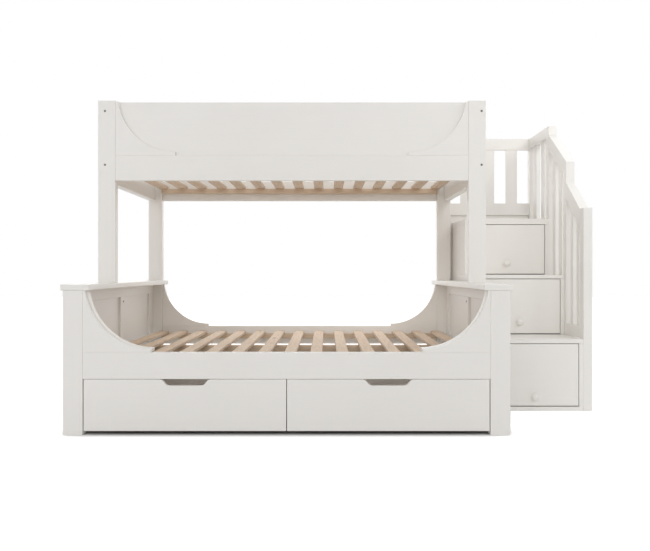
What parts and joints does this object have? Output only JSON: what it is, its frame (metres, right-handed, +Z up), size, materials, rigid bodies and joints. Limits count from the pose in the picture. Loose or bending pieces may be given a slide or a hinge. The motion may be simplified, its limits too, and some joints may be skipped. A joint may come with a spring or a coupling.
{
  "type": "bunk bed",
  "caption": "Bunk bed with a narrow bed over a wide one, curved corner brackets, under-bed drawers on castors and a railed storage stair.",
  "frame": {"origin": "on the floor under the middle of the whole object", "axes": "+X along the beds towards the stair, +Y from the front to the wall, +Z up"},
  "size_m": [2.609, 1.471, 1.628],
  "materials": {
    "white_paint": "satin white paint on wood",
    "knob_paint": "satin white paint on turned wood",
    "drawer_board": "white coated board",
    "pine": "bare planed pine",
    "steel": "dark zinc",
    "zinc": "bright zinc",
    "castor_wheel": "moulded nylon"
  },
  "bodies": {
    "root": {"cap_boards": "white_paint", "centre_beam": "pine", "drawer_runners": "pine", "joint_bolts": "steel", "lower_end_left": "white_paint", "lower_end_right": "white_paint", "lower_front_brackets": "white_paint", "lower_front_rail": "white_paint", "lower_post_front_left": "white_paint", "lower_post_front_right": "white_paint", "lower_post_rear_left": "white_paint", "lower_post_rear_right": "white_paint", "lower_railing": "white_paint", "lower_rear_brackets": "white_paint", "lower_rear_rail": "white_paint", "lower_slats": "pine", "lower_tread": "white_paint", "middle_railing": "white_paint", "middle_tread": "white_paint", "platform_board": "white_paint", "platform_guard": "white_paint", "railing_posts": "white_paint", "slat_ledgers": "pine", "stair_back": "white_paint", "stair_base": "white_paint", "stair_side_left": "white_paint", "stair_side_right": "white_paint", "upper_brackets": "white_paint", "upper_end_guard_left": "white_paint", "upper_end_guard_right": "white_paint", "upper_end_rails": "white_paint", "upper_front_guard": "white_paint", "upper_front_rail": "white_paint", "upper_post_front_left": "white_paint", "upper_post_front_right": "white_paint", "upper_post_rear_left": "white_paint", "upper_post_rear_right": "white_paint", "upper_railing": "white_paint", "upper_rear_guard": "white_paint", "upper_rear_rail": "white_paint", "upper_slats": "pine"},
    "bed_drawer_left": {"bed_drawer_left_front": "white_paint", "bed_drawer_left_box": "drawer_board", "bed_drawer_left_castors": "zinc"},
    "bed_drawer_left_wheels_front": {"bed_drawer_left_wheels_front": "castor_wheel"},
    "bed_drawer_left_wheels_rear": {"bed_drawer_left_wheels_rear": "castor_wheel"},
    "bed_drawer_right": {"bed_drawer_right_front": "white_paint", "bed_drawer_right_box": "drawer_board", "bed_drawer_right_castors": "zinc"},
    "bed_drawer_right_wheels_front": {"bed_drawer_right_wheels_front": "castor_wheel"},
    "bed_drawer_right_wheels_rear": {"bed_drawer_right_wheels_rear": "castor_wheel"},
    "step_drawer_lower": {"step_drawer_lower_front": "white_paint", "step_drawer_lower_box": "drawer_board", "step_drawer_lower_knob": "knob_paint"},
    "step_drawer_middle": {"step_drawer_middle_front": "white_paint", "step_drawer_middle_box": "drawer_board", "step_drawer_middle_knob": "knob_paint"},
    "step_drawer_upper": {"step_drawer_upper_front": "white_paint", "step_drawer_upper_box": "drawer_board", "step_drawer_upper_knob": "knob_paint"}
  },
  "joints": [
    {"name": "bed_drawer_left_slide", "type": "slide", "parent": "root", "child": "bed_drawer_left", "axis": [0, -1, 0], "range_m": [0, 0.85]},
    {"name": "bed_drawer_left_wheels_front_spin", "type": "hinge", "parent": "bed_drawer_left", "child": "bed_drawer_left_wheels_front", "pos_m": [-0.74162, -0.5915, 0.019], "axis": [1, 0, 0], "range_deg": [0, 2600]},
    {"name": "bed_drawer_left_wheels_rear_spin", "type": "hinge", "parent": "bed_drawer_left", "child": "bed_drawer_left_wheels_rear", "pos_m": [-0.74162, 0.1685, 0.019], "axis": [1, 0, 0], "range_deg": [0, 2600]},
    {"name": "bed_drawer_right_slide", "type": "slide", "parent": "root", "child": "bed_drawer_right", "axis": [0, -1, 0], "range_m": [0, 0.85]},
    {"name": "bed_drawer_right_wheels_front_spin", "type": "hinge", "parent": "bed_drawer_right", "child": "bed_drawer_right_wheels_front", "pos_m": [0.17663, -0.5915, 0.019], "axis": [1, 0, 0], "range_deg": [0, 2600]},
    {"name": "bed_drawer_right_wheels_rear_spin", "type": "hinge", "parent": "bed_drawer_right", "child": "bed_drawer_right_wheels_rear", "pos_m": [0.17663, 0.1685, 0.019], "axis": [1, 0, 0], "range_deg": [0, 2600]},
    {"name": "step_drawer_lower_slide", "type": "slide", "parent": "root", "child": "step_drawer_lower", "axis": [0, -1, 0], "range_m": [0, 0.42]},
    {"name": "step_drawer_middle_slide", "type": "slide", "parent": "root", "child": "step_drawer_middle", "axis": [0, -1, 0], "range_m": [0, 0.42]},
    {"name": "step_drawer_upper_slide", "type": "slide", "parent": "root", "child": "step_drawer_upper", "axis": [0, -1, 0], "range_m": [0, 0.24]}
  ],
  "couplings": [
    {"joint": "bed_drawer_left_wheels_front_spin", "follows": "bed_drawer_left_slide", "rad_per_m": 52.632},
    {"joint": "bed_drawer_left_wheels_rear_spin", "follows": "bed_drawer_left_slide", "rad_per_m": 52.632},
    {"joint": "bed_drawer_right_wheels_front_spin", "follows": "bed_drawer_right_slide", "rad_per_m": 52.632},
    {"joint": "bed_drawer_right_wheels_rear_spin", "follows": "bed_drawer_right_slide", "rad_per_m": 52.632}
  ]
}
